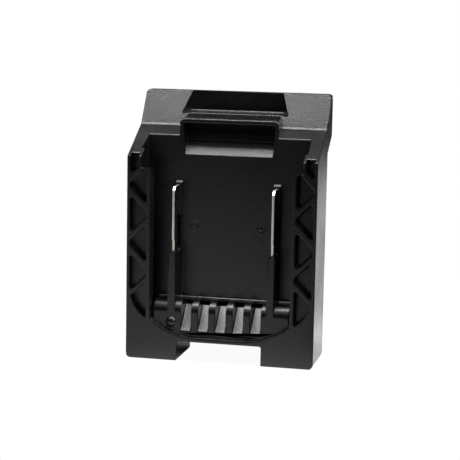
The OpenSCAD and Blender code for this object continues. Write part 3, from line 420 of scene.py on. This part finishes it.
# Housing screws: self-tapping and pan headed, in zinc plated steel. They are driven from behind, and their
# heads are sunk in the rear shell's counterbores.

soften_edges("housing_screws", 0.00018)
finish_node("housing_screws", zinc)


# Studio: a white table that keeps the shadow, dark cloths round it, on its right front and behind the lamp, a
# long soft light overhead and a small one at the upper right, and the camera where the photograph was taken
# from.

def white_when_seen(tree, plain, white, camera_share, mirror_share):
    """Mixes from the plain shader to the white one: by the first share on camera rays, and by the second on
    glossy and transmission rays. Each share is a number or an output, and the larger product counts."""
    rays = tree_node(tree, "ShaderNodeLightPath").outputs
    mirrored = math_step(tree, "MAXIMUM", rays["Is Glossy Ray"], rays["Is Transmission Ray"])
    seen = math_step(tree, "MAXIMUM", math_step(tree, "MULTIPLY", rays["Is Camera Ray"], camera_share),
                     math_step(tree, "MULTIPLY", mirrored, mirror_share))
    mix = tree_node(tree, "ShaderNodeMixShader")
    for socket, output in zip(mix.inputs, (seen, plain.outputs[0], white.outputs[0])):
        tree.links.new(output, socket)
    return mix.outputs[0]


def stage_sheet(name, corners, material):
    """A flat sheet of the studio through four corners."""
    mesh = bpy.data.meshes.new(name)
    mesh.from_pydata(corners, [], [(0, 1, 2, 3)])
    mesh.materials.append(material)
    sheet = bpy.data.objects.new(name, mesh)
    bpy.context.scene.collection.objects.link(sheet)
    return sheet


table_half, under_object = 6.0, (0.0, 0.035, 0.0)
seen_fade, mirror_fade = ((0.09, 0.2), (0.95, 1.0)), ((0.04, 0.09), (0.0, 1.0))
table_paint = bpy.data.materials.new("table_paint")
table_paint.use_nodes = True
table_tree = table_paint.node_tree
table_tree.nodes.clear()
table_out = tree_node(table_tree, "ShaderNodeOutputMaterial")
table_diffuse = tree_node(table_tree, "ShaderNodeBsdfDiffuse", Color=(0.86, 0.86, 0.86, 1.0))
table_white = tree_node(table_tree, "ShaderNodeEmission")
table_reach = tree_node(table_tree, "ShaderNodeVectorMath", {"operation": "DISTANCE"})
table_reach.inputs[1].default_value = under_object
table_tree.links.new(tree_node(table_tree, "ShaderNodeTexCoord").outputs["Object"], table_reach.inputs[0])
table_shares = [mapped(table_tree, table_reach.outputs["Value"], *fade) for fade in (seen_fade, mirror_fade)]
table_tree.links.new(white_when_seen(table_tree, table_diffuse, table_white, *table_shares),
                     table_out.inputs["Surface"])
stage_sheet("table", [(-table_half, -table_half, 0.0), (table_half, -table_half, 0.0),
                      (table_half, table_half, 0.0), (-table_half, table_half, 0.0)], table_paint)

cloth_paint = bpy.data.materials.new("dark_cloth")
cloth_paint.use_nodes = True
cloth_surface = cloth_paint.node_tree.nodes["Principled BSDF"]
cloth_surface.inputs["Base Color"].default_value = (0.01, 0.01, 0.01, 1.0)
cloth_surface.inputs["Roughness"].default_value = 1.0
cloth_surface.inputs["Specular IOR Level"].default_value = 0.0
front, back, side, top = -0.36, 0.70, 0.62, 0.32
laid_x, laid_y, laid_z = (0.04, -0.007), -0.03, 0.001
hung_x, hung_y, hung_z = (-1.2, 1.0), (0.42, 1.1), 1.06
cloths = {
    "front_cloth": [(-side, front, 0.0), (side, front, 0.0), (side, front, top), (-side, front, top)],
    "back_cloth": [(-side, back, 0.0), (side, back, 0.0), (side, back, top), (-side, back, top)],
    "left_cloth": [(-side, front, 0.0), (-side, back, 0.0), (-side, back, top), (-side, front, top)],
    "right_cloth": [(side, front, 0.0), (side, back, 0.0), (side, back, top), (side, front, top)],
    "laid_cloth": [(laid_x[0], laid_y, laid_z), (laid_x[1], front, laid_z), (side, front, laid_z),
                   (side, laid_y, laid_z)],
    "hung_cloth": [(hung_x[0], hung_y[0], hung_z), (hung_x[1], hung_y[0], hung_z),
                   (hung_x[1], hung_y[1], hung_z), (hung_x[0], hung_y[1], hung_z)],
}
for cloth_name, corners in cloths.items():
    cloth = stage_sheet(cloth_name, corners, cloth_paint)
    cloth.visible_camera = False
    cloth.visible_transmission = False
    cloth.visible_shadow = False

room = bpy.data.worlds.new("white_room")
room.use_nodes = True
room_tree = room.node_tree
room_tree.nodes.clear()
room_out = tree_node(room_tree, "ShaderNodeOutputWorld")
room_light = tree_node(room_tree, "ShaderNodeBackground", Color=(1.0, 1.0, 1.0, 1.0), Strength=0.1)
room_white = tree_node(room_tree, "ShaderNodeBackground", Color=(1.0, 1.0, 1.0, 1.0), Strength=1.0)
room_tree.links.new(white_when_seen(room_tree, room_light, room_white, 1.0, 1.0), room_out.inputs["Surface"])
bpy.context.scene.world = room

lit_point = Vector((0.0, 0.0, 0.06))
softboxes = {
    "top_softbox": ((0.0, -0.138, 1.049), 2.2, 0.28, 34.0),
    "right_softbox": ((0.66, -0.24, 0.66), 0.6, 0.6, 9.0),
}
for softbox_name, (place, softbox_width, softbox_depth, watts) in softboxes.items():
    softbox = bpy.data.lights.new(softbox_name, "AREA")
    softbox.shape = "RECTANGLE"
    softbox.size = softbox_width
    softbox.size_y = softbox_depth
    softbox.energy = watts
    softbox_holder = bpy.data.objects.new(softbox_name, softbox)
    softbox_holder.location = place
    softbox_holder.rotation_euler = (lit_point - softbox_holder.location).to_track_quat("-Z", "Y").to_euler()
    bpy.context.scene.collection.objects.link(softbox_holder)

camera = bpy.data.cameras.new("camera")
camera.sensor_width = 36.0
camera.lens = 116.44
camera_place = Vector((0.129123, -0.593633, 0.145332))
camera_right = Vector((0.976351, 0.21538, 0.018701))
camera_up = Vector((-0.050684, 0.143951, 0.988286))
camera_back = Vector((0.210165, -0.965862, 0.151463))
camera_turn = Matrix((camera_right, camera_up, camera_back)).transposed().to_4x4()
camera_holder = bpy.data.objects.new("camera", camera)
camera_holder.matrix_world = Matrix.Translation(camera_place) @ camera_turn
bpy.context.scene.collection.objects.link(camera_holder)
bpy.context.scene.camera = camera_holder
bpy.context.scene.view_settings.view_transform = "Standard"
